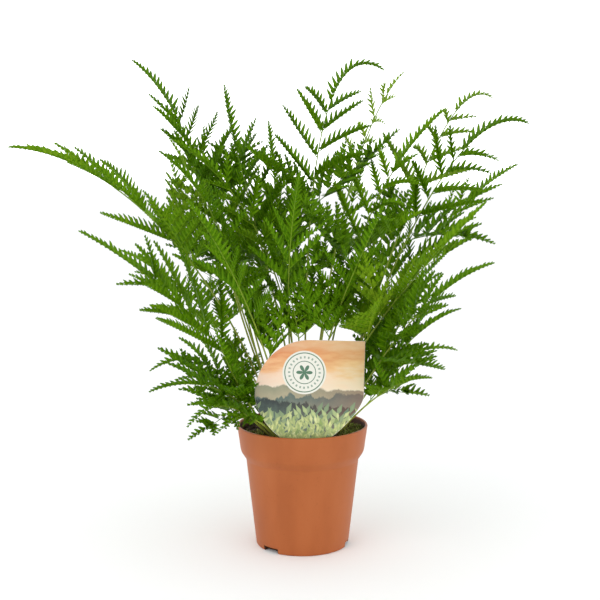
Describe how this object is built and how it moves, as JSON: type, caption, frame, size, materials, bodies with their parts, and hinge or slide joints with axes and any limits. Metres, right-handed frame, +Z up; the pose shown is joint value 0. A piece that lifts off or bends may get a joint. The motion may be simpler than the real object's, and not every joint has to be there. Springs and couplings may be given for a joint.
{
  "type": "potted fern",
  "caption": "Bushy fern with long, finely cut fronds on thin arching stems, in a tapered plastic pot with a banded rim, with soil and a drop-shaped plant label.",
  "frame": {"origin": "middle of the pot's underside, in the plane of the floor that it stands on", "axes": "+Z up along the pot's axis; -Y to the front, which the printed face of the label looks towards; +X to the right as seen from the front"},
  "size_m": [0.462, 0.3092, 0.445],
  "materials": {
    "pot": "satin terracotta-brown moulded plastic",
    "soil": "dark damp potting soil with some moss",
    "label": "printed plastic sheet",
    "frond": "mid-green fern leaf, softly glossy",
    "young_frond": "young yellow-green fern leaf"
  },
  "bodies": {
    "root": {"pot": "pot", "soil": "soil", "label": "label", "frond_left_long": "frond", "frond_left_tallest": "frond", "frond_left_tall_back": "frond", "frond_left_middle": "frond", "frond_left_inner": "frond", "frond_left_low": "frond", "frond_front_left": "frond", "frond_middle_straight": "frond", "frond_middle_arched": "frond", "frond_right_young": "young_frond", "frond_right_inner": "frond", "frond_right_crozier": "young_frond", "frond_right_arched": "frond", "frond_right_back": "frond", "frond_right_front": "frond", "frond_right_low": "frond", "frond_right_short": "frond", "frond_right_lowest": "frond", "frond_left_short": "frond", "frond_left_hanging": "frond", "frond_left_lowest": "frond", "frond_middle_front": "frond", "frond_front_right": "frond", "frond_back_left": "frond", "frond_back_middle": "frond", "frond_back_right": "frond", "frond_back_left_low": "frond", "frond_back_right_low": "frond", "frond_left_crozier": "young_frond", "frond_left_rim": "frond", "frond_right_side": "frond", "frond_left_upright": "frond", "frond_front_small": "frond"}
  },
  "joints": []
}
